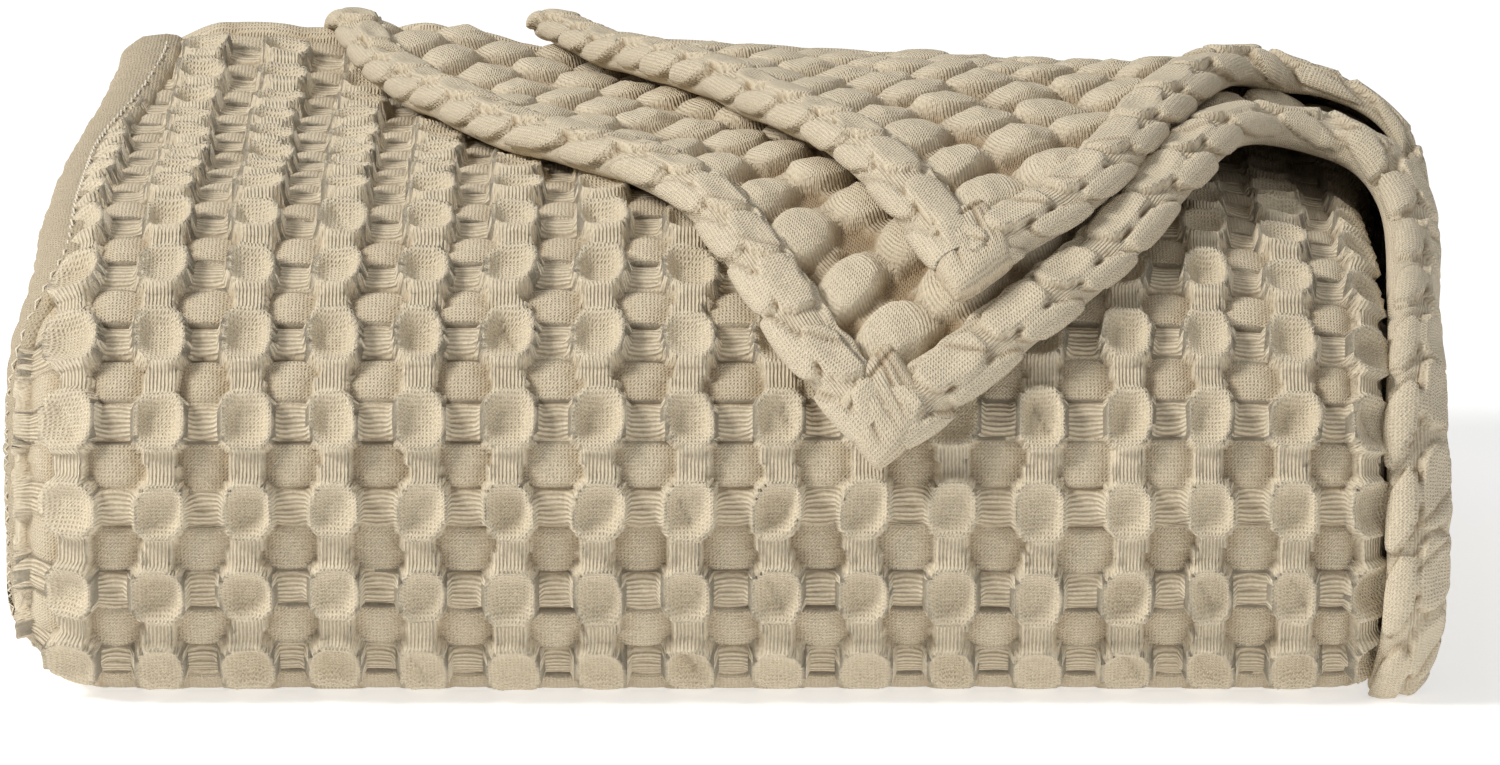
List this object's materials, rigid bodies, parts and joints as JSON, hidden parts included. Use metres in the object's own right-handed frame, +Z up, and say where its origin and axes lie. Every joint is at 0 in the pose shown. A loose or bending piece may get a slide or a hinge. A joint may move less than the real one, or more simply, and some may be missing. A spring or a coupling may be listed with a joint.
{
  "type": "folded throw blanket",
  "caption": "Deep waffle-weave cotton throw folded into a plump pile with a round front edge, and two loose hemmed corners draped over the top and front.",
  "frame": {"origin": "centre of the base of the bounding box, on the surface that the pile lies on", "axes": "+X to the right along the pile's long side, +Y from the round front fold to the back, +Z up"},
  "size_m": [0.3978, 0.3175, 0.1578],
  "materials": {
    "waffle_cotton": "matte deep waffle weave, undyed cotton",
    "hem_cotton": "matte plain weave, rolled and sewn",
    "inner_cotton": "matte waffle weave seen at its folded edges",
    "sewing_thread": "matte spun cotton thread"
  },
  "bodies": {
    "stack": {"outer_ply": "waffle_cotton", "outer_ply_left_hem": "hem_cotton", "outer_ply_hem_thread": "sewing_thread", "outer_ply_back_hem_under": "hem_cotton", "outer_ply_back_hem_top": "hem_cotton", "inner_fold_1": "inner_cotton", "inner_fold_2": "inner_cotton", "inner_fold_3": "inner_cotton", "inner_fold_4": "inner_cotton", "inner_fold_5": "inner_cotton", "lower_sheet_top": "waffle_cotton", "lower_sheet_side": "waffle_cotton", "lower_left_hem": "hem_cotton", "lower_front_hem": "hem_cotton", "lower_side_hem": "hem_cotton", "lower_back_hem": "hem_cotton", "upper_sheet_top": "waffle_cotton", "upper_sheet_side": "waffle_cotton", "upper_left_hem": "hem_cotton", "upper_front_hem": "hem_cotton", "upper_side_hem": "hem_cotton", "upper_back_hem": "hem_cotton"},
    "lower_corner": {"lower_corner_sheet": "waffle_cotton", "lower_corner_left_hem": "hem_cotton", "lower_corner_right_hem": "hem_cotton", "lower_corner_tip": "hem_cotton"},
    "upper_corner": {"upper_corner_sheet": "waffle_cotton", "upper_corner_left_hem": "hem_cotton", "upper_corner_right_hem": "hem_cotton", "upper_corner_tip": "hem_cotton"}
  },
  "joints": [
    {"name": "lower_corner_crease", "type": "hinge", "parent": "stack", "child": "lower_corner", "pos_m": [0.045, -0.13799, 0.10229], "axis": [-1, 0, 0], "range_deg": [0, 80]},
    {"name": "upper_corner_crease", "type": "hinge", "parent": "stack", "child": "upper_corner", "pos_m": [0.07, -0.09716, 0.13985], "axis": [-1, 0, 0], "range_deg": [0, 105]}
  ]
}
